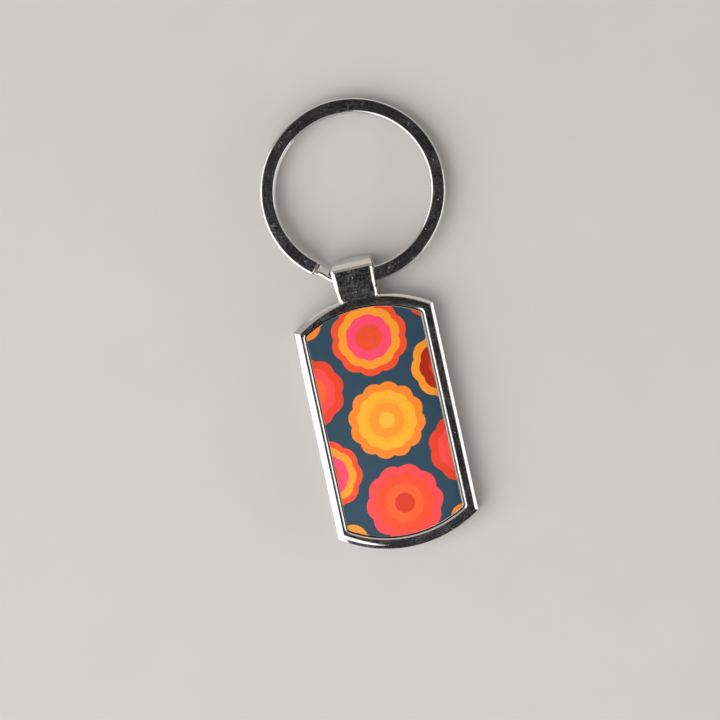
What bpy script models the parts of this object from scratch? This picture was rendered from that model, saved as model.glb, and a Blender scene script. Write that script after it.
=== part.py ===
# A tag keyring: a cast frame with an eye at its top, a printed plate bonded into the
# frame's recess, and a split ring of flat wire that swings in the eye.
# Metres. The tag lies on its back with the origin at the middle of the back face:
# +X to its right, +Y towards the ring, +Z out of its front.

import math

import bmesh
import bpy
import numpy as np
from mathutils import Vector

# Frame: straight sides, bowed ends, and a rim that rises to its crest in two slopes
frame_width = 0.0231
frame_side = 0.0339
frame_end_radius = 0.0205
back_edge = 0.0003
land_height = 0.0005
wall_height = 0.0024
wall_draft = 0.00006
bevel_width = 0.00065
bevel_rise = 0.0006
slope_width = 0.00085
slope_rise = 0.0002
lip_width = 0.00025
lip_drop = 0.0004
recess_draft = 0.00005
floor_thickness = 0.0009
end_arc_steps = 20

# Eye: a neck that widens upwards and closes round a channel for the ring
neck_width = 0.00625
eye_width = 0.0070
eye_rise = 0.0063
eye_back = 0.0002
eye_depth = 0.0051
eye_root = 0.0014
eye_ramp = 0.0027
roof_lean = 0.0007
eye_back_radius = 0.0009
eye_front_radius = 0.0013
eye_edge = 0.0004
channel_height = 0.00475
channel_depth = 0.0038
channel_radius = 0.0008
channel_floor = 0.000515
channel_back = 0.0007
mouth_flare = 0.0003
cut_overrun = 0.0010
corner_steps = 5

# Layers in the recess, each a bonding gap above the one below
bond_gap = 0.0003
side_gap = 0.0002
pad_thickness = 0.0004
pad_margin = 0.0008
plate_thickness = 0.0011
film_thickness = 0.0002
film_margin = 0.00005

# Split ring: two stacked turns of flat wire with round edges, in degrees round the ring
# from the strand in the eye
ring_diameter = 0.0300
wire_width = 0.0024
wire_thickness = 0.00095
turn_gap = 0.00045
upper_end_angle = 334.0
lower_end_angle = -340.0
jog_start_angle = -25.0
jog_end_angle = 15.0
jog_roll = 52.0
jog_shift = 0.00045
jog_roll_shares = (0.25, 0.55)
jog_climb_share = 0.8
turn_steps = 54
jog_steps = 20
gap_step = 1.0
gap_reach = 30.0
one_turn = 360.0
wire_edge_resolution = 2

# How the ring lies: turned aside in the eye, its far end just over the surface below
ring_turn = 11.0
ring_lift = 0.000175
ground_gap = 0.00005

# Meshing
weld_distance = 0.000001
flat_angle = 0.5
sharp_angle = 25.0

# Each piece's colour, roughness and metallic value
looks = {
    "frame_casting": ((0.80, 0.80, 0.79), 0.08, 1.0),
    "adhesive_pad": ((0.70, 0.68, 0.58), 0.60, 0.0),
    "insert_plate": ((0.60, 0.61, 0.62), 0.30, 1.0),
    "print_film": ((0.035, 0.070, 0.105), 0.35, 0.0),
    "split_ring": ((0.80, 0.80, 0.79), 0.08, 1.0),
}

frame_height = back_edge + land_height + wall_height + bevel_rise + slope_rise
rim_width = wall_draft + bevel_width + slope_width + lip_width + recess_draft
end_arc_centre = frame_side / 2 - math.sqrt(frame_end_radius ** 2 - (frame_width / 2) ** 2)
frame_top = end_arc_centre + frame_end_radius
eye_top = frame_top + eye_rise
channel_bottom = frame_top + channel_floor
pivot = Vector((0, channel_bottom + channel_height / 2 + ring_lift,
                channel_back + channel_depth / 2))
wire_radius = (ring_diameter - wire_width) / 2
wire_flat = wire_width - wire_thickness
turn_pitch = wire_thickness + turn_gap


# Scene, material and mesh helpers
def clear_scene():
    for obj in list(bpy.data.objects):
        bpy.data.objects.remove(obj, do_unlink=True)


def new_collection(name):
    group = bpy.data.collections.new(name)
    bpy.context.scene.collection.children.link(group)
    return group


def finish_piece(obj):
    color, roughness, metallic = looks[obj.name]
    made = bpy.data.materials.new(obj.name)
    made.use_nodes = True
    shader = made.node_tree.nodes["Principled BSDF"]
    shader.inputs["Base Color"].default_value = (*color, 1.0)
    shader.inputs["Roughness"].default_value = roughness
    shader.inputs["Metallic"].default_value = metallic
    obj.data.materials.clear()
    obj.data.materials.append(made)
    obj.data.shade_smooth()
    obj.data.set_sharp_from_angle(angle=math.radians(sharp_angle))


# A curve made a closed mesh in the curve's place, and the curve removed
def as_mesh(curve_object, group):
    bpy.context.view_layer.update()
    graph = bpy.context.evaluated_depsgraph_get()
    mesh = bpy.data.meshes.new_from_object(curve_object.evaluated_get(graph))
    name = curve_object.name
    placement = curve_object.matrix_world.copy()
    bpy.data.objects.remove(curve_object, do_unlink=True)
    edit = bmesh.new()
    edit.from_mesh(mesh)
    bmesh.ops.remove_doubles(edit, verts=edit.verts, dist=weld_distance)
    bmesh.ops.dissolve_limit(edit, angle_limit=math.radians(flat_angle),
                             verts=edit.verts, edges=edit.edges)
    edit.to_mesh(mesh)
    edit.free()
    obj = bpy.data.objects.new(name, mesh)
    obj.matrix_world = placement
    group.objects.link(obj)
    return obj


# A flat outline as a slab, centred on the outline's plane
def slab(name, outline, thickness, group, location=(0, 0, 0), rotation=(0, 0, 0)):
    curve = bpy.data.curves.new(name, "CURVE")
    curve.dimensions = "2D"
    curve.fill_mode = "BOTH"
    curve.extrude = thickness / 2
    spline = curve.splines.new("POLY")
    spline.points.add(len(outline) - 1)
    for point, (x, y) in zip(spline.points, outline):
        point.co = (x, y, 0, 1)
    spline.use_cyclic_u = True
    obj = bpy.data.objects.new(name, curve)
    obj.location = location
    obj.rotation_euler = rotation
    group.objects.link(obj)
    return as_mesh(obj, group)


# Corners given as (x, y, radius), counter-clockwise, with each corner rounded by an arc
def rounded_outline(corners):
    outline = []
    for index, (x, y, radius) in enumerate(corners):
        corner = Vector((x, y))
        before = (Vector(corners[index - 1][:2]) - corner).normalized()
        after = (Vector(corners[(index + 1) % len(corners)][:2]) - corner).normalized()
        if radius == 0:
            outline.append((x, y))
            continue
        half_angle = before.angle(after) / 2
        centre = corner + (before + after).normalized() * radius / math.sin(half_angle)
        start = corner + before * radius / math.tan(half_angle) - centre
        end = corner + after * radius / math.tan(half_angle) - centre
        for step in range(corner_steps + 1):
            spoke = start.lerp(end, step / corner_steps).normalized() * radius
            outline.append(tuple(centre + spoke))
    return outline


def cut_or_join(obj, other, operation):
    boolean = obj.modifiers.new(other.name, "BOOLEAN")
    boolean.operation = operation
    boolean.solver = "EXACT"
    boolean.object = other
    other.hide_render = True
    other.display_type = "WIRE"


# The tag's outline, moved in all round by the inset
def tag_outline(inset):
    half_width = frame_width / 2 - inset
    radius = frame_end_radius - inset
    spread = math.asin(half_width / radius)
    top_end = []
    for angle in np.linspace(spread, -spread, end_arc_steps + 1):
        top_end.append((radius * math.sin(angle), end_arc_centre + radius * math.cos(angle)))
    bottom_end = [(-x, -y) for x, y in top_end]
    return top_end + bottom_end


# A closed solid through steps from the outline, each a width inwards and a rise
def stepped_solid(name, steps, group):
    edit = bmesh.new()
    inset = 0
    height = 0
    rings = []
    for width, rise in steps:
        inset += width
        height += rise
        rings.append([edit.verts.new((x, y, height)) for x, y in tag_outline(inset)])
    edit.faces.new(rings[0][::-1])
    edit.faces.new(rings[-1])
    for low, high in zip(rings, rings[1:]):
        for index in range(len(low)):
            edit.faces.new((low[index - 1], low[index], high[index], high[index - 1]))
    mesh = bpy.data.meshes.new(name)
    edit.to_mesh(mesh)
    edit.free()
    obj = bpy.data.objects.new(name, mesh)
    group.objects.link(obj)
    return obj


# The neck and the eye's outside, drawn from the side and narrowed towards the frame
def eye_block(group):
    root = frame_top - eye_root
    side_view = rounded_outline((
        (root, eye_back, 0),
        (eye_top, eye_back, eye_back_radius),
        (eye_top - roof_lean, eye_back + eye_depth, eye_front_radius),
        (root + eye_ramp, eye_back + eye_depth, eye_front_radius),
        (root, frame_height - slope_rise, 0),
    ))
    block = slab("eye_block", side_view, eye_width, group,
                 rotation=(math.pi / 2, 0, math.pi / 2))
    for vertex in block.data.vertices:
        height_share = (vertex.co.x - frame_top) / eye_rise
        width = neck_width + (eye_width - neck_width) * height_share
        vertex.co.z *= width / eye_width
    edge = block.modifiers.new("rounded_edges", "BEVEL")
    edge.width = eye_edge
    edge.segments = 2
    edge.limit_method = "ANGLE"
    edge.angle_limit = math.radians(2 * sharp_angle)
    return block


# The way through the eye, flared at both mouths
def eye_channel(group):
    bottom = channel_bottom
    top = channel_bottom + channel_height
    back = channel_back
    front = channel_back + channel_depth
    section = rounded_outline((
        (bottom, back, channel_radius),
        (top, back, channel_radius),
        (top, front, channel_radius),
        (bottom, front, channel_radius),
    ))
    channel = slab("eye_channel", section, eye_width - 2 * mouth_flare, group,
                   rotation=(math.pi / 2, 0, math.pi / 2))
    edit = bmesh.new()
    edit.from_mesh(channel.data)
    growth = mouth_flare + cut_overrun
    for side in (-1, 1):
        mouth = max(edit.faces, key=lambda face: face.normal.z * side)
        flared = bmesh.ops.extrude_face_region(edit, geom=[mouth])["geom"]
        bmesh.ops.delete(edit, geom=[mouth], context="FACES_ONLY")
        for vertex in flared:
            if isinstance(vertex, bmesh.types.BMVert):
                vertex.co.x += math.copysign(growth, vertex.co.x - (bottom + top) / 2)
                vertex.co.y += math.copysign(growth, vertex.co.y - (back + front) / 2)
                vertex.co.z += side * growth
    edit.to_mesh(channel.data)
    edit.free()
    return channel


# The frame up its outside and down into its recess, with the eye joined on and opened
def frame_casting(parts, tools):
    casting = stepped_solid("frame_casting", (
        (back_edge, 0),
        (-back_edge, back_edge),
        (0, land_height),
        (wall_draft, wall_height),
        (bevel_width, bevel_rise),
        (slope_width, slope_rise),
        (lip_width, -lip_drop),
        (recess_draft, lip_drop + floor_thickness - frame_height),
    ), parts)
    cut_or_join(casting, eye_block(tools), "UNION")
    cut_or_join(casting, eye_channel(tools), "DIFFERENCE")
    finish_piece(casting)


# The layers that fill the recess
def recess_layers(parts):
    bottom = floor_thickness
    layers = (
        ("adhesive_pad", pad_thickness, side_gap + pad_margin),
        ("insert_plate", plate_thickness, side_gap),
        ("print_film", film_thickness, side_gap + film_margin),
    )
    for name, thickness, margin in layers:
        bottom += bond_gap
        layer = slab(name, tag_outline(rim_width + margin), thickness, parts,
                     location=(0, 0, bottom + thickness / 2))
        finish_piece(layer)
        bottom += thickness


def smooth_share(value):
    share = min(max(value, 0), 1)
    return share * share * (3 - 2 * share)


# The wire's centre and its roll at an angle round the ring, from the strand in the eye
def ring_station(angle):
    jog_share = (angle - jog_start_angle) / (jog_end_angle - jog_start_angle)
    rolled_share, held_share = jog_roll_shares
    twist = smooth_share(jog_share / rolled_share)
    twist -= smooth_share((jog_share - held_share) / (1 - held_share))
    radius = wire_radius + jog_shift * twist
    turn = math.radians(angle)
    height = turn_pitch * (smooth_share(jog_share / jog_climb_share) - 1 / 2)
    centre = Vector((radius * math.sin(turn), wire_radius - radius * math.cos(turn), height))
    return centre, math.radians(jog_roll) * twist


def ring_angles():
    lower = np.linspace(lower_end_angle, jog_start_angle, turn_steps + 1)
    jog = np.linspace(jog_start_angle, jog_end_angle, jog_steps + 1)
    upper = np.linspace(jog_end_angle, upper_end_angle, turn_steps + 1)
    return [*lower[:-1], *jog[:-1], *upper]


# Points on the wire's skin round one station
def skin_points(angle):
    centre, roll = ring_station(angle)
    turn = math.radians(angle)
    outward = Vector((math.sin(turn), -math.cos(turn), 0))
    wide = outward * math.cos(roll) + Vector((0, 0, math.sin(roll)))
    thin = Vector((0, 0, math.cos(roll))) - outward * math.sin(roll)
    points = []
    for side in (-1, 1):
        edge = centre + wide * side * wire_flat / 2
        for step in range(-corner_steps, corner_steps + 1):
            lean = math.pi / 2 * step / corner_steps
            spoke = wide * side * math.cos(lean) + thin * math.sin(lean)
            points.append(edge + spoke * wire_thickness / 2)
    return points


# The least distance between skins that lie about one turn apart along the wire
def least_turn_gap():
    angles = np.arange(lower_end_angle, upper_end_angle, gap_step)
    skins = np.array([skin_points(angle) for angle in angles])
    least = ring_diameter
    for apart in np.arange(one_turn - gap_reach, one_turn + gap_reach, gap_step):
        shift = round(apart / gap_step)
        between = skins[shift:, :, None] - skins[:-shift, None]
        least = min(least, np.linalg.norm(between, axis=-1).min())
    return least


# The ring on its pivot: a flat wire whose lower turn climbs to the upper one in the eye
def split_ring(parts):
    holder = bpy.data.objects.new("ring_pivot", None)
    parts.objects.link(holder)
    reach = 2 * wire_radius + wire_flat / 2
    half_stack = turn_pitch / 2 + wire_thickness / 2
    hypotenuse = math.hypot(reach, half_stack)
    sag = math.asin((pivot.z - ground_gap) / hypotenuse) - math.atan(half_stack / reach)
    holder.location = pivot
    holder.rotation_euler = (-sag, 0, -math.radians(ring_turn))

    curve = bpy.data.curves.new("split_ring", "CURVE")
    curve.dimensions = "3D"
    curve.twist_mode = "Z_UP"
    curve.extrude = wire_flat / 2
    curve.bevel_depth = wire_thickness / 2
    curve.bevel_resolution = wire_edge_resolution
    curve.use_fill_caps = True
    angles = ring_angles()
    spline = curve.splines.new("POLY")
    spline.points.add(len(angles) - 1)
    for point, angle in zip(spline.points, angles):
        centre, roll = ring_station(angle)
        point.co = (*centre, 1)
        point.tilt = math.pi / 2 + roll
    wire = bpy.data.objects.new("split_ring", curve)
    wire.parent = holder
    parts.objects.link(wire)
    ring = as_mesh(wire, parts)
    ring.parent = holder
    bpy.context.view_layer.update()
    ring.matrix_world = holder.matrix_world
    finish_piece(ring)
    print(f"split_ring: least gap between its turns {least_turn_gap():.5f} m")
    print(f"ring_swing: through {tuple(round(value, 6) for value in pivot)},"
          f" hanging {math.degrees(sag):.3f} degrees below level")


def main():
    clear_scene()
    parts = new_collection("tag_keyring")
    tools = new_collection("cutters")
    frame_casting(parts, tools)
    recess_layers(parts)
    split_ring(parts)


main()
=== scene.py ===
import math

import bmesh
import bpy
from mathutils import Matrix, Vector


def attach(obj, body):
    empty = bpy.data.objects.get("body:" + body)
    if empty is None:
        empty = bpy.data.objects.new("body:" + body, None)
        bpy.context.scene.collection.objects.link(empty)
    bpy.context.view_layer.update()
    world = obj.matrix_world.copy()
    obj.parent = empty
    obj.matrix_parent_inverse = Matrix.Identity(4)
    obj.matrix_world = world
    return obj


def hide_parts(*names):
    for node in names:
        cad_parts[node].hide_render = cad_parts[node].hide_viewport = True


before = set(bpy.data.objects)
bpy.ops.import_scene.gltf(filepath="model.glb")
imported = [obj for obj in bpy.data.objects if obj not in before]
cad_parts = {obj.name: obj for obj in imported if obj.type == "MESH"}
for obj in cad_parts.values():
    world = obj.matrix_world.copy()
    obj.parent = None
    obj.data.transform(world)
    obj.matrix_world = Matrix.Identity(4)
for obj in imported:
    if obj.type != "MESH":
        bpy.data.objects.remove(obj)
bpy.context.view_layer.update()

print("frame loaded")

# Lengths in metres, angles in degrees. The tag lies on its back: +X to its right,
# +Y towards the ring, +Z out of its front.

cameraSet = {
    "lens": 140.6,
    "distance": 0.450,
    "target": (-0.00192, 0.01040, 0.0030),
    "tagLean": 12.4,          # the tag's top leans left in the picture
    "fromRight": 6.0,         # how far the camera stands to the tag's right
    "fromTop": -1.0,
}


def makeCamera():
    data = bpy.data.cameras.new("camera")
    data.lens = cameraSet["lens"]
    data.sensor_width = 36.0
    data.clip_start = 0.01
    data.clip_end = 20.0
    camera = bpy.data.objects.new("camera", data)
    bpy.context.scene.collection.objects.link(camera)
    target = Vector(cameraSet["target"])
    back = Vector((math.tan(math.radians(cameraSet["fromRight"])),
                   math.tan(math.radians(cameraSet["fromTop"])), 1)).normalized()
    lean = math.radians(cameraSet["tagLean"])
    up = Vector((math.sin(lean), math.cos(lean), 0))
    right = up.cross(back).normalized()
    up = back.cross(right)
    turn = Matrix((right, up, back)).transposed().to_4x4()
    camera.matrix_world = Matrix.Translation(target + back * cameraSet["distance"]) @ turn
    bpy.context.scene.camera = camera


makeCamera()
bpy.context.scene.view_settings.view_transform = "Standard"    # the print's colours stay true
print("camera set")


# Small helpers for modelling by hand
def deselectAll():
    if bpy.context.mode != "OBJECT":
        bpy.ops.object.mode_set(mode="OBJECT")
    bpy.ops.object.select_all(action="DESELECT")


def onlyActive(obj):
    deselectAll()
    obj.select_set(True)
    bpy.context.view_layer.objects.active = obj


def editMode(obj, kind="FACE"):
    onlyActive(obj)
    bpy.ops.object.mode_set(mode="EDIT")
    bpy.ops.mesh.select_mode(type=kind)
    return bmesh.from_edit_mesh(obj.data)


def objectMode():
    bpy.ops.object.mode_set(mode="OBJECT")


def selectOnly(mesh, items):
    for group in (mesh.verts, mesh.edges, mesh.faces):
        for item in group:
            item.select = False
    for item in items:
        item.select = True
    mesh.select_flush_mode()


def booleanWith(obj, other, operation):
    onlyActive(obj)
    cut = obj.modifiers.new(operation.lower(), "BOOLEAN")
    cut.operation = operation
    cut.solver = "EXACT"
    cut.object = other
    bpy.ops.object.modifier_apply(modifier=cut.name)
    bpy.data.objects.remove(other, do_unlink=True)


def smoothByAngle(obj, angle):
    onlyActive(obj)
    bpy.ops.object.shade_smooth_by_angle(angle=math.radians(angle))


def clampShare(value):
    return min(max(value, 0), 1)


def smoothShare(value):
    share = clampShare(value)
    return share * share * (3 - 2 * share)


# A straight run with both its ends eased
def easedShare(share, ease):
    if share < ease:
        return share ** 2 / (2 * ease) / (1 - ease)
    if share > 1 - ease:
        return 1 - (1 - share) ** 2 / (2 * ease) / (1 - ease)
    return (share - ease / 2) / (1 - ease)


# A disc whose face is extruded from outline to outline, each a list of points
def extrudeThrough(name, outlines):
    deselectAll()
    # the disc's own radius doesn't matter, because its points are moved to the first outline
    bpy.ops.mesh.primitive_circle_add(vertices=len(outlines[0]), radius=0.01, fill_type="NGON")
    obj = bpy.context.object
    obj.name = name
    obj.data.name = name
    mesh = editMode(obj)
    station = mesh.verts.layers.int.new("station")
    face = mesh.faces[:][0]
    for index, vertex in enumerate(face.verts):
        vertex[station] = index
        vertex.co = outlines[0][index]
    for outline in outlines[1:]:
        bpy.ops.mesh.extrude_region_move()
        mesh = bmesh.from_edit_mesh(obj.data)
        station = mesh.verts.layers.int["station"]
        for vertex in mesh.verts:
            if vertex.select:
                vertex.co = outline[vertex[station]]
    bpy.ops.mesh.select_all(action="SELECT")
    bpy.ops.mesh.normals_make_consistent(inside=False)
    objectMode()
    return obj


casting = {
    "width": 0.0231, "side": 0.0339, "endRadius": 0.0205,
    "arcSteps": 36, "cornerSteps": 7, "smoothAngle": 14,
    "outerCorner": 0.00006,                      # corners of the outline stay sharp
    "windowCorner": 0.00075,                     # corners of the recess are round
    "windowShift": -0.00008,                     # the window sits a hair to the left
    "shiftFrom": 0.00056, "shiftOver": 0.0009,   # insets over which it moves there
}
half = casting["width"] / 2
arcCentre = casting["side"] / 2 - math.sqrt(casting["endRadius"] ** 2 - half ** 2)
frameTop = arcCentre + casting["endRadius"]


# The tag's outline moved in by an inset, its corners rounded, at a height
def tagOutline(inset, corner, height):
    width = half - inset
    radius = casting["endRadius"] - inset
    # centre of the round at the top right corner: inside both the side and the end arc
    cornerX = width - corner
    cornerY = arcCentre + math.sqrt((radius - corner) ** 2 - cornerX ** 2)
    lastLean = math.asin(cornerX / (radius - corner))
    topRight = []
    for step in range(casting["cornerSteps"] + 1):
        turn = (math.pi / 2 - lastLean) * step / casting["cornerSteps"]
        topRight.append((cornerX + corner * math.cos(turn), cornerY + corner * math.sin(turn)))
    arc = []
    for step in range(1, casting["arcSteps"]):
        lean = lastLean * (1 - 2 * step / casting["arcSteps"])
        arc.append((radius * math.sin(lean), arcCentre + radius * math.cos(lean)))
    topLeft = [(-x, y) for x, y in reversed(topRight)]
    top = topRight + arc + topLeft
    bottom = [(-x, -y) for x, y in top]
    return [(x, y, height) for x, y in top + bottom]


# Inset, corner radius and height of each outline, from the back up the wall, over the
# rim and down into the recess
def rimProfile():
    sharp = casting["outerCorner"]
    soft = casting["windowCorner"]
    steps = [
        (0.00034, sharp, 0.0), (0.00026, sharp, 0.00002), (0.00012, sharp, 0.00009),
        (0.00003, sharp, 0.00021), (0.0, sharp, 0.00034), (0.0, sharp, 0.0008),
        # wall and flat bevel
        (0.00005, sharp, 0.00322), (0.00007, sharp, 0.00328), (0.00011, sharp, 0.00332),
        (0.00044, sharp, 0.003582),
        # the slope rounds off to the crest
        (0.00052, sharp, 0.003640), (0.00060, sharp, 0.003690),
        (0.00069, sharp * 1.5, 0.003735), (0.00080, sharp * 3, 0.003779),
        (0.00094, soft * 0.35, 0.003823), (0.00106, soft * 0.55, 0.003853),
        (0.00116, soft * 0.7, 0.003873), (0.00126, soft * 0.8, 0.003886),
        (0.00138, soft * 0.9, 0.003894), (0.00149, soft, 0.003896),
        # chamfer round the window, then the recess
        (0.00153, soft, 0.003888), (0.00157, soft, 0.003862), (0.00161, soft, 0.003832),
        (0.00176, soft, 0.003715), (0.00179, soft, 0.003682), (0.00181, soft, 0.003630),
        (0.00182, soft, 0.003560), (0.00184, soft, 0.0009),
    ]
    outlines = []
    for inset, corner, height in steps:
        share = smoothShare((inset - casting["shiftFrom"]) / casting["shiftOver"])
        shift = casting["windowShift"] * share
        outlines.append([(x + shift, y, z) for x, y, z in tagOutline(inset, corner, height)])
    return outlines


eye = {
    "rise": 0.00630,                                        # its roof above the frame's top
    "neckHalf": 0.0032, "topHalf": 0.0035, "back": 0.0002, "front": 0.0053,
    "root": 0.0015, "rootDrop": 0.0002,                     # how far its foot runs into the frame
    "roofLean": 0.00088, "backRound": (0.0009, 8),          # radius and steps
    "crown": 0.00050, "crownMiddle": 0.62,                  # the roof's crown
    "crownLow": 0.0030, "crownOver": 0.0020, "crownDepth": 0.0024,
    "rollDrop": 0.00100,
    "facetWidths": (0.00080, 0.00048), "facetDepth": 0.00031,    # the roll's two facets
    "rollRounds": ((0.00012, 3), (0.00012, 2), (0.00030, 5)),
    "rampStart": 0.00235, "rampEnd": -0.0009, "rampLow": 0.00372,
    "rampSteps": 20, "rampEase": 0.22,
    "bevel": 0.00034, "bevelSlope": 0.80,                   # flat part of its side bevels
    "sideEdge": 0.00003, "sideEdgeDrop": 0.00004,           # their outer edge is broken
    "soften": 0.00034, "softenSteps": 5,                    # from there the face goes flat
    "backDraw": 0.3, "wideDraw": 0.5, "thinDraw": 0.2,      # flatter side bevels: back and roll
    "rampBevel": 0.78, "rampFade": 0.0012,                  # and on the ramp
    "middleShares": (-0.55, -0.3, 0.0, 0.3, 0.55),          # stations between the bevels
}
eyeTop = frameTop + eye["rise"]
rampTop = frameTop + eye["rampStart"]


# Points round a corner, from the line that comes in to the one that goes out
def roundCorner(before, corner, after, radius, steps):
    incoming = (Vector(before) - Vector(corner)).normalized()
    outgoing = (Vector(after) - Vector(corner)).normalized()
    halfTurn = incoming.angle(outgoing) / 2
    reach = radius / math.tan(halfTurn)
    centre = Vector(corner) + (incoming + outgoing).normalized() * radius / math.sin(halfTurn)
    first = Vector(corner) + incoming * reach - centre
    last = Vector(corner) + outgoing * reach - centre
    return [tuple(centre + first.lerp(last, step / steps).normalized() * radius)
            for step in range(steps + 1)]


# The eye's side view, (y, z), drawn in by an inset at its roof, roll and front
def eyeSideView(inset):
    wideDraw, thinDraw = inset * eye["wideDraw"], inset * eye["thinDraw"]
    back = eye["back"] + inset * eye["backDraw"]
    front = eye["front"] - inset
    rollTop = eye["front"] - eye["rollDrop"]
    rollMiddleZ = eye["front"] - eye["facetDepth"]
    upperWidth, lowerWidth = eye["facetWidths"]
    roofBack = (eyeTop - inset, back)
    roofFront = (eyeTop - eye["roofLean"] - wideDraw, rollTop - thinDraw)
    rollMiddle = (roofFront[0] - upperWidth + thinDraw, rollMiddleZ - wideDraw)
    rollEnd = (rollMiddle[0] - lowerWidth, front)
    root = (frameTop - eye["root"], back)
    points = [root]
    points += roundCorner(root, roofBack, roofFront, *eye["backRound"])
    corners = (roofBack, roofFront, rollMiddle, rollEnd, (rampTop, front))
    for index, rounding in enumerate(eye["rollRounds"]):
        points += roundCorner(*corners[index:index + 3], *rounding)
    span = eye["rampEnd"] - eye["rampStart"]
    rampDrop = eye["front"] - eye["rampLow"]
    for step in range(eye["rampSteps"] + 1):
        share = step / eye["rampSteps"]
        fall = rampDrop * easedShare(share, eye["rampEase"])
        points.append((rampTop + span * share, front - fall))
    points.append((frameTop - eye["root"], front - rampDrop - eye["rootDrop"]))
    return points


def eyeHalfWidth(y):
    share = (y - frameTop) / eye["rise"]
    return eye["neckHalf"] + (eye["topHalf"] - eye["neckHalf"]) * share


# How far the roof stands up at a point: most at its back and in the middle
def roofCrown(y, z, acrossShare):
    rear = clampShare((eye["front"] - eye["rollDrop"] - z) / eye["crownDepth"])
    lift = smoothShare((y - eyeTop + eye["crownLow"]) / eye["crownOver"]) * rear
    return eye["crown"] * lift * (eye["crownMiddle"] - acrossShare ** 2)


# The eye and neck: its side view extruded across, from bevel to bevel
def makeEyeBlock():
    bevel, soften, slope = eye["bevel"], eye["soften"], eye["bevelSlope"]
    rounded = slope * soften / 2
    # how far in from the side, and how far the outline is drawn in there
    edge = [(0.0, rounded + slope * bevel + eye["sideEdgeDrop"]),
            (eye["sideEdge"], rounded + slope * (bevel - eye["sideEdge"]))]
    for step in range(eye["softenSteps"] + 1):
        share = step / eye["softenSteps"]
        edge.append((bevel + soften * share, rounded * (1 - share) ** 2))
    stations = [(-1, *item) for item in edge]
    stations += [(0, share, 0.0) for share in eye["middleShares"]]
    stations += [(1, *item) for item in reversed(edge)]
    outlines = []
    for side, across, inset in stations:
        outline = []
        for y, z in eyeSideView(inset):
            width = eyeHalfWidth(y)
            # on the ramp the side bevels are flatter, so that they keep their shine
            if z > eye["rampLow"] and y < rampTop:
                fade = smoothShare((rampTop - y) / eye["rampFade"])
                z += inset * (1 - eye["rampBevel"]) * fade
            x = side * (width - across) if side else across * width
            outline.append((x, y + roofCrown(y, z, x / width), z))
        outlines.append(outline)
    return extrudeThrough("eyeBlock", outlines)


channel = {
    "bottom": 0.000515, "height": 0.00475, "back": 0.0007, "depth": 0.0038,
    "corner": 0.0008, "cornerSteps": 8,
    "mouth": 0.00028, "mouthFlare": 0.8, "mouthSteps": 6,     # round mouths
    "sideGap": 0.0001, "overrun": 0.001, "overrunGrowth": 0.0001,
}


# The way through the eye, with rounded mouths
def makeChannelCutter():
    low = frameTop + channel["bottom"]
    high = low + channel["height"]
    back, front = channel["back"], channel["back"] + channel["depth"]
    radius = channel["corner"]

    def section(growth, x):
        points = []
        corners = ((high, front, 0), (low, front, 90), (low, back, 180), (high, back, 270))
        reach = radius + growth
        for y, z, first in corners:
            middleY = y - radius if y == high else y + radius
            middleZ = z - radius if z == front else z + radius
            for step in range(channel["cornerSteps"] + 1):
                turn = math.radians(first + 90 * step / channel["cornerSteps"])
                points.append((x, middleY + reach * math.cos(turn),
                               middleZ + reach * math.sin(turn)))
        return points

    mouth, flare = channel["mouth"], channel["mouthFlare"]
    sideX = eye["topHalf"] - channel["sideGap"]
    outlines = []
    for sign in (-1, 1):
        sections = []
        for step in range(channel["mouthSteps"] + 1):
            turn = math.radians(90 * step / channel["mouthSteps"])
            growth = mouth * (1 - math.cos(turn)) * flare
            sections.append((growth, sign * (sideX - mouth + mouth * math.sin(turn))))
        sections.append((mouth * flare + channel["overrunGrowth"],
                         sign * (sideX + channel["overrun"])))
        outlines += [section(*item) for item in (reversed(sections) if sign < 0 else sections)]
    return extrudeThrough("channelCutter", outlines)


def makeCasting():
    body = extrudeThrough("castFrame", rimProfile())
    booleanWith(body, makeEyeBlock(), "UNION")
    booleanWith(body, makeChannelCutter(), "DIFFERENCE")
    smoothByAngle(body, casting["smoothAngle"])
    return body


# Plate and film sit a hair to the left. The film is narrower than the plate and a trace
# shorter, so that the plate shows as a pale border, widest at the right.
plateSize = {
    "inset": 0.00197, "bottom": 0.0019, "top": 0.00326, "edge": 0.00008,
    "shift": -0.00012, "stretch": 0.9965,
}
filmSize = {
    "inset": 0.002175, "bottom": 0.0033, "top": 0.0035, "edge": 0.00005,
    "shift": -0.00019, "stretch": 1.004,
}
layerShape = {"corner": 0.00070, "edgeRound": 0.3, "smoothAngle": 30}


def makeLayer(name, size):
    inset, edge, bottom, top = size["inset"], size["edge"], size["bottom"], size["top"]
    rounding = edge * layerShape["edgeRound"]
    steps = ((inset + edge, bottom), (inset, bottom + edge), (inset, top - edge),
             (inset + rounding, top - rounding), (inset + edge, top))
    outlines = []
    for stepInset, height in steps:
        outline = tagOutline(stepInset, layerShape["corner"], height)
        outlines.append([(x + size["shift"], y * size["stretch"], z) for x, y, z in outline])
    layer = extrudeThrough(name, outlines)
    smoothByAngle(layer, layerShape["smoothAngle"])
    return layer


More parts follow.
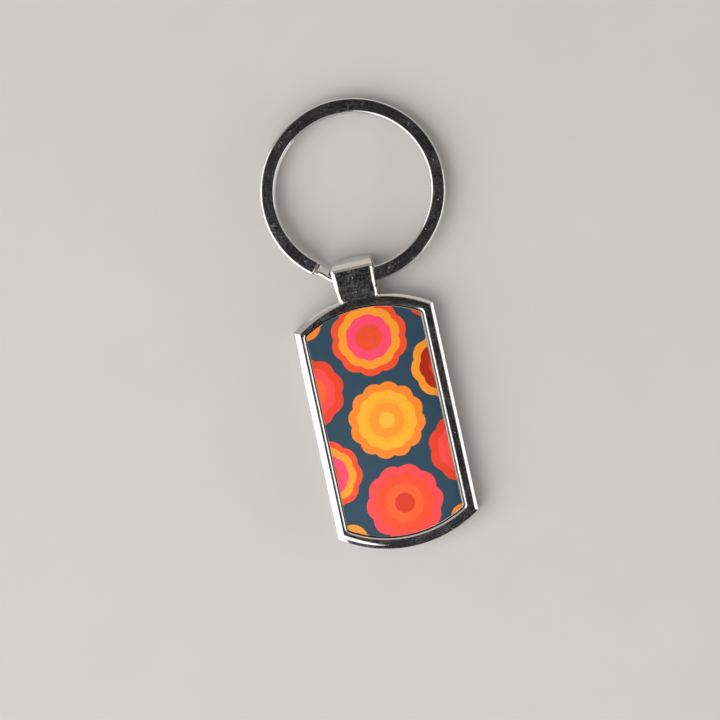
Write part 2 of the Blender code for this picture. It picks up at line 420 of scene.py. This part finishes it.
ring = {
    "diameter": 0.02998, "width": 0.0024, "thickness": 0.00095, "gap": 0.00045,
    "upperEnd": 334.0, "lowerEnd": -340.0,
    # where the wire rolls on edge and climbs from the lower turn to the upper one
    "jogStart": -28.5, "jogEnd": 15.0, "roll": 52.0, "shift": 0.00045,
    "rolledShare": 0.125, "heldShare": 0.46, "climbShare": 0.84,
    "dip": 0.00050, "dipFrom": -30.0, "dipTo": -12.5, "dipPower": 0.8,    # it runs further in
    "turnStep": 1.5, "jogStep": 0.75, "jogMargin": 3, "leastStep": 0.1,
    "edgeSteps": 9, "smoothAngle": 24,
    "swing": 11.0, "lift": 0.000175, "groundGap": 0.00005,
    "endChamfer": 0.00019, "endReach": 0.95, "endShare": 0.96,    # the cut ends' chamfer
    "endEdge": 0.00004, "endProfile": 0.6,                        # and its broken edge
}
wireRadius = (ring["diameter"] - ring["width"]) / 2
wireFlat = ring["width"] - ring["thickness"]
turnPitch = ring["thickness"] + ring["gap"]
pivot = Vector((0, frameTop + channel["bottom"] + channel["height"] / 2 + ring["lift"],
                channel["back"] + channel["depth"] / 2))


# The wire's section at an angle round the ring, from the strand in the eye
def wireSection(angle):
    jogShare = (angle - ring["jogStart"]) / (ring["jogEnd"] - ring["jogStart"])
    twist = smoothShare(jogShare / ring["rolledShare"])
    twist -= smoothShare((jogShare - ring["heldShare"]) / (1 - ring["heldShare"]))
    dipShare = clampShare((angle - ring["dipFrom"]) / (ring["dipTo"] - ring["dipFrom"]))
    dip = ring["dip"] * math.sin(math.pi * dipShare ** ring["dipPower"]) ** 2
    radius = wireRadius + ring["shift"] * twist - dip
    toEnd = min(angle - ring["lowerEnd"], ring["upperEnd"] - angle)
    chamfer = ring["endChamfer"] * max(1 - toEnd / ring["endReach"], 0)
    halfRound = ring["thickness"] / 2 - chamfer
    turn = math.radians(angle)
    height = turnPitch * (smoothShare(jogShare / ring["climbShare"]) - 0.5)
    centre = Vector((radius * math.sin(turn), wireRadius - radius * math.cos(turn), height))
    roll = math.radians(ring["roll"]) * twist
    outward = Vector((math.sin(turn), -math.cos(turn), 0))
    wide = outward * math.cos(roll) + Vector((0, 0, math.sin(roll)))
    thin = Vector((0, 0, math.cos(roll))) - outward * math.sin(roll)
    points = []
    for side in (1, -1):
        for step in range(ring["edgeSteps"] + 1):
            lean = math.pi * (step / ring["edgeSteps"] - 0.5) * side
            spoke = wide * side * math.cos(lean) + thin * math.sin(lean)
            points.append(centre + wide * side * wireFlat / 2 + spoke * halfRound)
    return points


# The ring lies turned to one side, its far end sagging to the floor
def ringPlacement():
    reach = 2 * wireRadius + wireFlat / 2
    halfStack = turnPitch / 2 + ring["thickness"] / 2
    sag = math.asin((pivot.z - ring["groundGap"]) / math.hypot(reach, halfStack))
    sag -= math.atan(halfStack / reach)
    turned = Matrix.Rotation(-math.radians(ring["swing"]), 4, "Z")
    return Matrix.Translation(pivot) @ turned @ Matrix.Rotation(-sag, 4, "X")


def makeSplitRing():
    first, last = ring["lowerEnd"], ring["upperEnd"]
    reach, margin = ring["endReach"], ring["jogMargin"]
    angles = [first, first + reach * ring["endShare"]]
    angle = first + reach
    while angle < last - reach - ring["leastStep"]:
        angles.append(angle)
        inJog = ring["jogStart"] - margin < angle < ring["jogEnd"] + margin
        angle += ring["jogStep"] if inJog else ring["turnStep"]
    angles += [last - reach, last - reach * ring["endShare"], last]
    wire = extrudeThrough("splitRingWire", [wireSection(angle) for angle in angles])
    # the edges of both cut ends are broken
    mesh = editMode(wire, "EDGE")
    sectionPoints = 2 * (ring["edgeSteps"] + 1)
    ends = [face for face in mesh.faces if len(face.verts) == sectionPoints]
    selectOnly(mesh, {edge for face in ends for edge in face.edges})
    bmesh.update_edit_mesh(wire.data)
    bpy.ops.mesh.bevel(offset=ring["endEdge"], offset_type="OFFSET", segments=2,
                       profile=ring["endProfile"], clamp_overlap=True)
    objectMode()
    wire.data.transform(ringPlacement())
    smoothByAngle(wire, ring["smoothAngle"])
    return wire


# Small helpers for building materials
def newMaterial(name):
    made = bpy.data.materials.new(name)
    made.use_nodes = True
    nodes = made.node_tree.nodes
    nodes.clear()
    output = nodes.new("ShaderNodeOutputMaterial")
    shader = nodes.new("ShaderNodeBsdfPrincipled")
    made.node_tree.links.new(shader.outputs["BSDF"], output.inputs["Surface"])
    return made, made.node_tree, shader


# Each input takes a socket to link or a value to set
def setInputs(tree, node, inputs):
    for key, value in inputs.items():
        if isinstance(value, bpy.types.NodeSocket):
            tree.links.new(value, node.inputs[key])
        else:
            node.inputs[key].default_value = value


def addNode(tree, kind, inputs, **settings):
    node = tree.nodes.new(kind)
    for key, value in settings.items():
        setattr(node, key, value)
    setInputs(tree, node, inputs)
    return node


def objectCoords(tree):
    return addNode(tree, "ShaderNodeTexCoord", {}).outputs["Object"]


def noise(tree, coords, scale, detail=2.0, roughness=0.5, output="Fac"):
    made = addNode(tree, "ShaderNodeTexNoise", {
        "Vector": coords, "Scale": scale, "Detail": detail, "Roughness": roughness})
    return made.outputs[output]


def cells(tree, coords, scale):
    return addNode(tree, "ShaderNodeTexVoronoi", {"Vector": coords, "Scale": scale}).outputs


def spread(tree, value, low, high, newLow=0.0, newHigh=1.0):
    return addNode(tree, "ShaderNodeMapRange", {
        "Value": value, "From Min": low, "From Max": high,
        "To Min": newLow, "To Max": newHigh}).outputs["Result"]


def mathNode(tree, operation, *values):
    made = addNode(tree, "ShaderNodeMath", dict(enumerate(values)), operation=operation)
    return made.outputs[0]


def vectorNode(tree, operation, *values):
    made = addNode(tree, "ShaderNodeVectorMath", dict(enumerate(values)), operation=operation)
    return made.outputs


# A blend of two colours, each a socket or red, green and blue
def mixColors(tree, share, first, second):
    ends = [end if isinstance(end, bpy.types.NodeSocket) else (*end, 1.0)
            for end in (first, second)]
    made = addNode(tree, "ShaderNodeMix", {0: share, 6: ends[0], 7: ends[1]}, data_type="RGBA")
    return made.outputs[2]


def bump(tree, height, strength, distance, under=None):
    inputs = {"Height": height, "Strength": strength, "Distance": distance}
    if under is not None:
        inputs["Normal"] = under
    return addNode(tree, "ShaderNodeBump", inputs).outputs["Normal"]


# Where most of a noise's values lie
noiseRange = (0.3, 0.7)

# Each bump is a strength and a distance, each range a low and a high value
chromeLook = {
    "color": (0.80, 0.80, 0.79), "roughness": 0.06,
    "castingGrain": 0.20, "wireGrain": 0.18,            # how dull the fine grains are
    "grainScale": 5200.0, "grainRange": (0.50, 0.68),
    "patchScale": 300.0, "patchRange": (0.38, 0.62), "patchLeast": 0.30,
    "speckScale": 1700.0, "speckShares": (0.84, 0.94),  # rare bright specks
    "speckSizes": (0.085, 0.17), "speck": 0.60,
    "dullAt": 0.3, "dullRoughness": 0.36,
    "warm": (0.98, 0.86, 0.70), "cool": (0.74, 0.82, 1.0),
    "tintScale": 520.0, "tintRange": (0.42, 0.58),
    "rippleScale": 420.0, "rippleBump": (0.25, 0.00003),
    "pitScale": 5200.0, "pitBump": (0.12, 0.000006),
}


# Bright plating: a mirror with dull grains, a few bright specks and a drift of tint
def brightPlate(name, grain):
    look = chromeLook
    made, tree, shader = newMaterial(name)
    coords = objectCoords(tree)
    patches = noise(tree, coords, look["patchScale"], detail=3.0, roughness=0.6)
    patchMask = spread(tree, patches, *look["patchRange"], look["patchLeast"], 1.0)
    grains = noise(tree, coords, look["grainScale"], detail=1.0)
    grainMask = mathNode(tree, "MULTIPLY", spread(tree, grains, *look["grainRange"]), patchMask)
    specks = cells(tree, coords, look["speckScale"])
    dice = addNode(tree, "ShaderNodeSeparateColor", {0: specks["Color"]}).outputs["Red"]
    chosen = spread(tree, dice, *look["speckShares"])
    dot = spread(tree, specks["Distance"], *look["speckSizes"], 1.0, 0.0)
    speckMask = mathNode(tree, "MULTIPLY", chosen, dot)
    dull = mathNode(tree, "MULTIPLY_ADD", speckMask, look["speck"],
                    mathNode(tree, "MULTIPLY", grainMask, grain))
    warm, cool = ([a * b for a, b in zip(look["color"], look[tint])] for tint in ("warm", "cool"))
    drift = spread(tree, noise(tree, coords, look["tintScale"]), *look["tintRange"])
    tinted = mixColors(tree, drift, warm, cool)
    ripple = noise(tree, coords, look["rippleScale"], detail=1.0)
    rippled = bump(tree, ripple, *look["rippleBump"])
    pits = noise(tree, coords, look["pitScale"])
    setInputs(tree, shader, {
        "Base Color": mixColors(tree, grainMask, look["color"], tinted),
        "Metallic": mathNode(tree, "SUBTRACT", 1.0, dull),
        "Roughness": spread(tree, dull, 0.0, look["dullAt"],
                            look["roughness"], look["dullRoughness"]),
        "Normal": bump(tree, pits, *look["pitBump"], rippled),
    })
    return made


# The insert's white coat, which shows as a thin border round the print
coatLook = {
    "color": (0.90, 0.86, 0.80), "shade": (0.76, 0.71, 0.64),
    "blendScale": 900.0, "blendRange": (0.35, 0.65),
    "metal": (0.80, 0.80, 0.78), "coatHeights": (0.0031, 0.00313),    # bare metal below them
    "brushScale": 4000.0, "roughness": (0.28, 0.42), "brushBump": (0.2, 0.000006),
}


def coatedPlate(name):
    made, tree, shader = newMaterial(name)
    coords = objectCoords(tree)
    blend = noise(tree, coords, coatLook["blendScale"], detail=3.0)
    coat = mixColors(tree, spread(tree, blend, *coatLook["blendRange"]),
                     coatLook["color"], coatLook["shade"])
    height = addNode(tree, "ShaderNodeSeparateXYZ", {0: coords}).outputs["Z"]
    coated = spread(tree, height, *coatLook["coatHeights"])
    brushed = noise(tree, coords, coatLook["brushScale"])
    setInputs(tree, shader, {
        "Base Color": mixColors(tree, coated, coatLook["metal"], coat),
        "Metallic": mathNode(tree, "SUBTRACT", 1.0, coated),
        "Roughness": spread(tree, brushed, *noiseRange, *coatLook["roughness"]),
        "Normal": bump(tree, brushed, *coatLook["brushBump"]),
    })
    return made


# The print: scalloped blossoms of nested bands on a slate ground. Colours are screen
# values, 0 to 255, and each band's first number is the share of the radius it ends at.
printLook = {
    "ground": (48, 73, 90),
    "notch": 0.10, "notchPower": 0.75,
    "wobble": 0.00016, "wobbleScale": 620.0,
    "grain": 0.10, "grainScale": 4200.0, "grainBump": (0.15, 0.000006),
    "blotch": 0.03, "blotchScale": 700.0,
    "roughness": (0.41, 0.52), "specular": 0.14,
}
bands = {
    "marigold": ((0.20, (240, 180, 62)), (0.46, (250, 150, 44)), (0.56, (246, 168, 46)),
                 (0.78, (248, 174, 48)), (1.0, (247, 133, 42))),
    "fuchsia": ((0.34, (240, 80, 46)), (0.60, (252, 74, 108)), (0.82, (248, 154, 44)),
                (1.0, (240, 80, 46))),
    "poppy": ((0.26, (214, 60, 34)), (0.50, (252, 96, 50)), (0.76, (243, 78, 46)),
              (1.0, (250, 74, 76))),
    "ember": ((0.22, (246, 84, 62)), (0.48, (224, 64, 38)), (0.76, (178, 42, 22)),
              (1.0, (246, 152, 44))),
    "coral": ((0.24, (250, 128, 92)), (0.48, (252, 98, 52)), (0.74, (252, 76, 74)),
              (1.0, (230, 66, 40))),
}
# x, y and radius in millimetres, lobes, turn in degrees, and which bands
blossoms = (
    (0.3, 13.6, 6.2, 10, 8, "fuchsia"), (0.3, 0.1, 6.2, 12, 0, "marigold"),
    (0.3, -13.4, 6.2, 10, 20, "poppy"),
    (-10.9, 20.3, 5.6, 9, 0, "marigold"), (-10.9, 6.9, 5.6, 9, 12, "coral"),
    (-10.9, -6.7, 5.6, 9, 30, "fuchsia"), (-10.9, -20.1, 5.6, 9, 4, "ember"),
    (11.4, 20.3, 5.6, 9, 16, "coral"), (11.4, 6.8, 5.6, 9, 0, "ember"),
    (11.4, -6.6, 5.6, 9, 24, "coral"), (11.4, -20.2, 5.6, 9, 10, "marigold"),
)
millimetre = 0.001


def fromScreen(color):
    def linear(value):
        share = value / 255
        return share / 12.92 if share <= 0.04045 else ((share + 0.055) / 1.055) ** 2.4
    return [linear(value) for value in color]


# One blossom over the colour so far
def addBlossom(tree, coords, under, blossom):
    x, y, radius, lobes, turn, name = blossom
    placed = addNode(tree, "ShaderNodeMapping", {
        "Vector": coords, "Scale": (1, 1, 0),
        "Location": (-x * millimetre, -y * millimetre, 0)}).outputs[0]
    split = addNode(tree, "ShaderNodeSeparateXYZ", {0: placed}).outputs
    length = vectorNode(tree, "LENGTH", placed)["Value"]
    reach = mathNode(tree, "DIVIDE", length, radius * millimetre)
    angle = mathNode(tree, "ARCTAN2", split["Y"], split["X"])
    lobe = mathNode(tree, "MULTIPLY_ADD", angle, lobes / 2, math.radians(turn) * lobes / 2)
    wave = mathNode(tree, "ABSOLUTE", mathNode(tree, "SINE", lobe))
    petal = mathNode(tree, "POWER", wave, printLook["notchPower"])
    # notches are deep at the rim and fade towards the middle
    depth = mathNode(tree, "MULTIPLY_ADD", petal, -printLook["notch"], printLook["notch"])
    notch = mathNode(tree, "MULTIPLY", depth, reach)
    edge = mathNode(tree, "MULTIPLY_ADD", notch, reach, reach)
    ramp = addNode(tree, "ShaderNodeValToRGB", {"Fac": edge})
    ramp.color_ramp.interpolation = "CONSTANT"
    stops = ramp.color_ramp.elements
    rings = bands[name]
    stops[0].position = 0
    stops[0].color = (*fromScreen(rings[0][1]), 1.0)
    stops[1].position = rings[-1][0]
    stops[1].color = (0, 0, 0, 0)
    for (start, _), (_, color) in zip(rings, rings[1:]):
        stop = stops.new(start)
        stop.color = (*fromScreen(color), 1.0)
    return mixColors(tree, ramp.outputs["Alpha"], under, ramp.outputs["Color"])


def printedMaterial(name):
    made, tree, shader = newMaterial(name)
    coords = objectCoords(tree)
    wobble = noise(tree, coords, printLook["wobbleScale"], output="Color")
    centred = vectorNode(tree, "SUBTRACT", wobble, (0.5, 0.5, 0.5))[0]
    pushed = vectorNode(tree, "MULTIPLY_ADD", centred, (printLook["wobble"],) * 3, coords)[0]
    color = fromScreen(printLook["ground"])
    for blossom in blossoms:
        color = addBlossom(tree, pushed, color, blossom)
    grain = noise(tree, coords, printLook["grainScale"], roughness=0.6)
    blotch = noise(tree, coords, printLook["blotchScale"], detail=3.0)
    tone = mathNode(tree, "ADD", spread(tree, grain, *noiseRange, 1 - printLook["grain"], 1.0),
                    spread(tree, blotch, *noiseRange, -printLook["blotch"], printLook["blotch"]))
    setInputs(tree, shader, {
        "Base Color": vectorNode(tree, "MULTIPLY", color, tone)[0],
        "Roughness": spread(tree, blotch, *noiseRange, *printLook["roughness"]),
        "Specular IOR Level": printLook["specular"],
        "Normal": bump(tree, grain, *printLook["grainBump"]),
    })
    return made


# The bonding pad under the plate: pale foam tape
padLook = {
    "color": (0.72, 0.70, 0.64), "shade": (0.55, 0.53, 0.47), "blendScale": 900.0,
    "roughness": 0.85, "cellScale": 3800.0, "cellBump": (0.5, 0.00004),
}


def padMaterial(name):
    made, tree, shader = newMaterial(name)
    coords = objectCoords(tree)
    blend = noise(tree, coords, padLook["blendScale"], detail=3.0)
    foam = cells(tree, coords, padLook["cellScale"])
    setInputs(tree, shader, {
        "Base Color": mixColors(tree, blend, padLook["color"], padLook["shade"]),
        "Roughness": padLook["roughness"],
        "Normal": bump(tree, foam["Distance"], *padLook["cellBump"]),
    })
    return made


def finishPiece(obj, body, material, slotName, *replaced):
    obj.data.materials.clear()
    obj.data.materials.append(material)
    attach(obj, body)
    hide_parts(*replaced)


castFrame = makeCasting()
print("casting made", len(castFrame.data.polygons))
plate = makeLayer("insertPlate", plateSize)
film = makeLayer("printedFace", filmSize)
print("plate and film made", len(plate.data.polygons), len(film.data.polygons))
wire = makeSplitRing()
print("split ring made", len(wire.data.polygons))

chrome = brightPlate("platedCasting", chromeLook["castingGrain"])
wireChrome = brightPlate("platedWire", chromeLook["wireGrain"])
coated = coatedPlate("coatedPlate")
printed = printedMaterial("printedFace")
padMade = padMaterial("adhesivePad")
print("materials made")

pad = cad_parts["adhesive_pad"]
pad.data.materials.clear()
pad.data.materials.append(padMade)

finishPiece(castFrame, "tag", chrome, "frame_casting", "frame_casting")
finishPiece(plate, "tag", coated, "insert_plate", "insert_plate")
finishPiece(film, "tag", printed, "print_film", "print_film")
finishPiece(wire, "ring", wireChrome, "split_ring", "split_ring")
print("pieces on their bodies")


floorLook = {
    "size": 4.0, "color": (0.52, 0.51, 0.49), "shade": (0.56, 0.548, 0.53),
    "mottleScale": 60.0, "roughness": 0.9, "specular": 0.1,
}


def makeFloor():
    deselectAll()
    bpy.ops.mesh.primitive_plane_add(size=floorLook["size"], location=(0, 0, 0))
    floor = bpy.context.object
    floor.name = "floor"
    made, tree, shader = newMaterial("paleFloor")
    coords = objectCoords(tree)
    mottle = noise(tree, coords, floorLook["mottleScale"], detail=4.0, roughness=0.6)
    setInputs(tree, shader, {
        "Base Color": mixColors(tree, mottle, floorLook["color"], floorLook["shade"]),
        "Roughness": floorLook["roughness"],
        "Specular IOR Level": floorLook["specular"],
    })
    floor.data.materials.append(made)


studio = {
    "centre": (0, 0.015, 0),              # what lamps and cards face
    "lampColor": (1.0, 0.99, 0.97),
    "cardColor": (0.02, 0.02, 0.022),
    "roomColor": (0.94, 0.92, 0.89), "roomStrength": 0.45,
}


# A place in the studio, seen from the origin
def toward(azimuth, elevation, distance):
    a, e = math.radians(azimuth), math.radians(elevation)
    return Vector((math.cos(a) * math.cos(e), math.sin(a) * math.cos(e), math.sin(e))) * distance


def facing(way):
    return way.to_track_quat("Z", "Y").to_matrix().to_4x4()


# A card that only mirrors see, a painted reflection: black where it stands for the dark room,
# glowing where it is given a colour
def card(name, place, width, height, color=None, strength=0.0, facePoint=studio["centre"]):
    deselectAll()
    bpy.ops.mesh.primitive_plane_add(size=1.0)
    sheet = bpy.context.object
    sheet.name = name
    turn = facing(Vector(facePoint) - Vector(place))
    sheet.matrix_world = Matrix.Translation(place) @ turn @ Matrix.Diagonal((width, height, 1, 1))
    made, tree, shader = newMaterial(name)
    setInputs(tree, shader, {
        "Base Color": (*studio["cardColor"], 1), "Roughness": 1.0, "Specular IOR Level": 0.0})
    if color:
        setInputs(tree, shader, {"Emission Color": (*color, 1), "Emission Strength": strength})
    sheet.data.materials.append(made)
    sheet.visible_camera = False
    sheet.visible_diffuse = False
    sheet.visible_shadow = False


# A lamp, and in its place a card that the chrome mirrors
def softbox(name, place, width, height, power, shine):
    data = bpy.data.lights.new(name, "AREA")
    data.shape = "RECTANGLE"
    data.size = width
    data.size_y = height
    data.energy = power
    lamp = bpy.data.objects.new(name, data)
    lamp.matrix_world = Matrix.Translation(place) @ facing(place - Vector(studio["centre"]))
    lamp.visible_camera = False
    lamp.visible_glossy = False
    bpy.context.scene.collection.objects.link(lamp)
    card(name + "Shine", place, width, height, studio["lampColor"], shine)


# Most stand at an azimuth, elevation and distance. Width and height come next.
makeFloor()
softbox("softboxLeft", toward(208, 38, 0.9), 1.35, 1.35, power=15, shine=1.5)
softbox("stripRight", toward(-24, 12, 1.0), 1.34, 0.44, power=4.8, shine=1.45)
# This card glows with no lamp behind it: a painted reflection for the chrome
card("sideShine", toward(154, 24, 0.95), 0.58, 0.75, studio["lampColor"], 1.4)
# These three are black and seen only in the chrome: painted dark reflections
card("canopy", (0.41, 0.275, 0.6), 1.26, 1.65, facePoint=(0.41, 0.275, 0.0))
card("frontCard", toward(283, 30, 0.88), 0.92, 1.15)
card("lowCard", toward(262, 13, 0.8), 0.80, 0.42)
# These two glow with no lamp behind them: painted reflections, a pale band and a dimmer one
# beyond the tag's top
card("topGlowCard", toward(84, 4, 0.92), 1.35, 0.42, (0.66, 0.60, 0.53), 1.0)
card("topDimGlowCard", toward(80, 24, 0.95), 0.80, 0.18, (0.31, 0.28, 0.23), 1.0)

world = bpy.data.worlds.new("studio")
bpy.context.scene.world = world
world.use_nodes = True
background = world.node_tree.nodes["Background"]
background.inputs["Color"].default_value = (*studio["roomColor"], 1)
background.inputs["Strength"].default_value = studio["roomStrength"]
print("studio set")
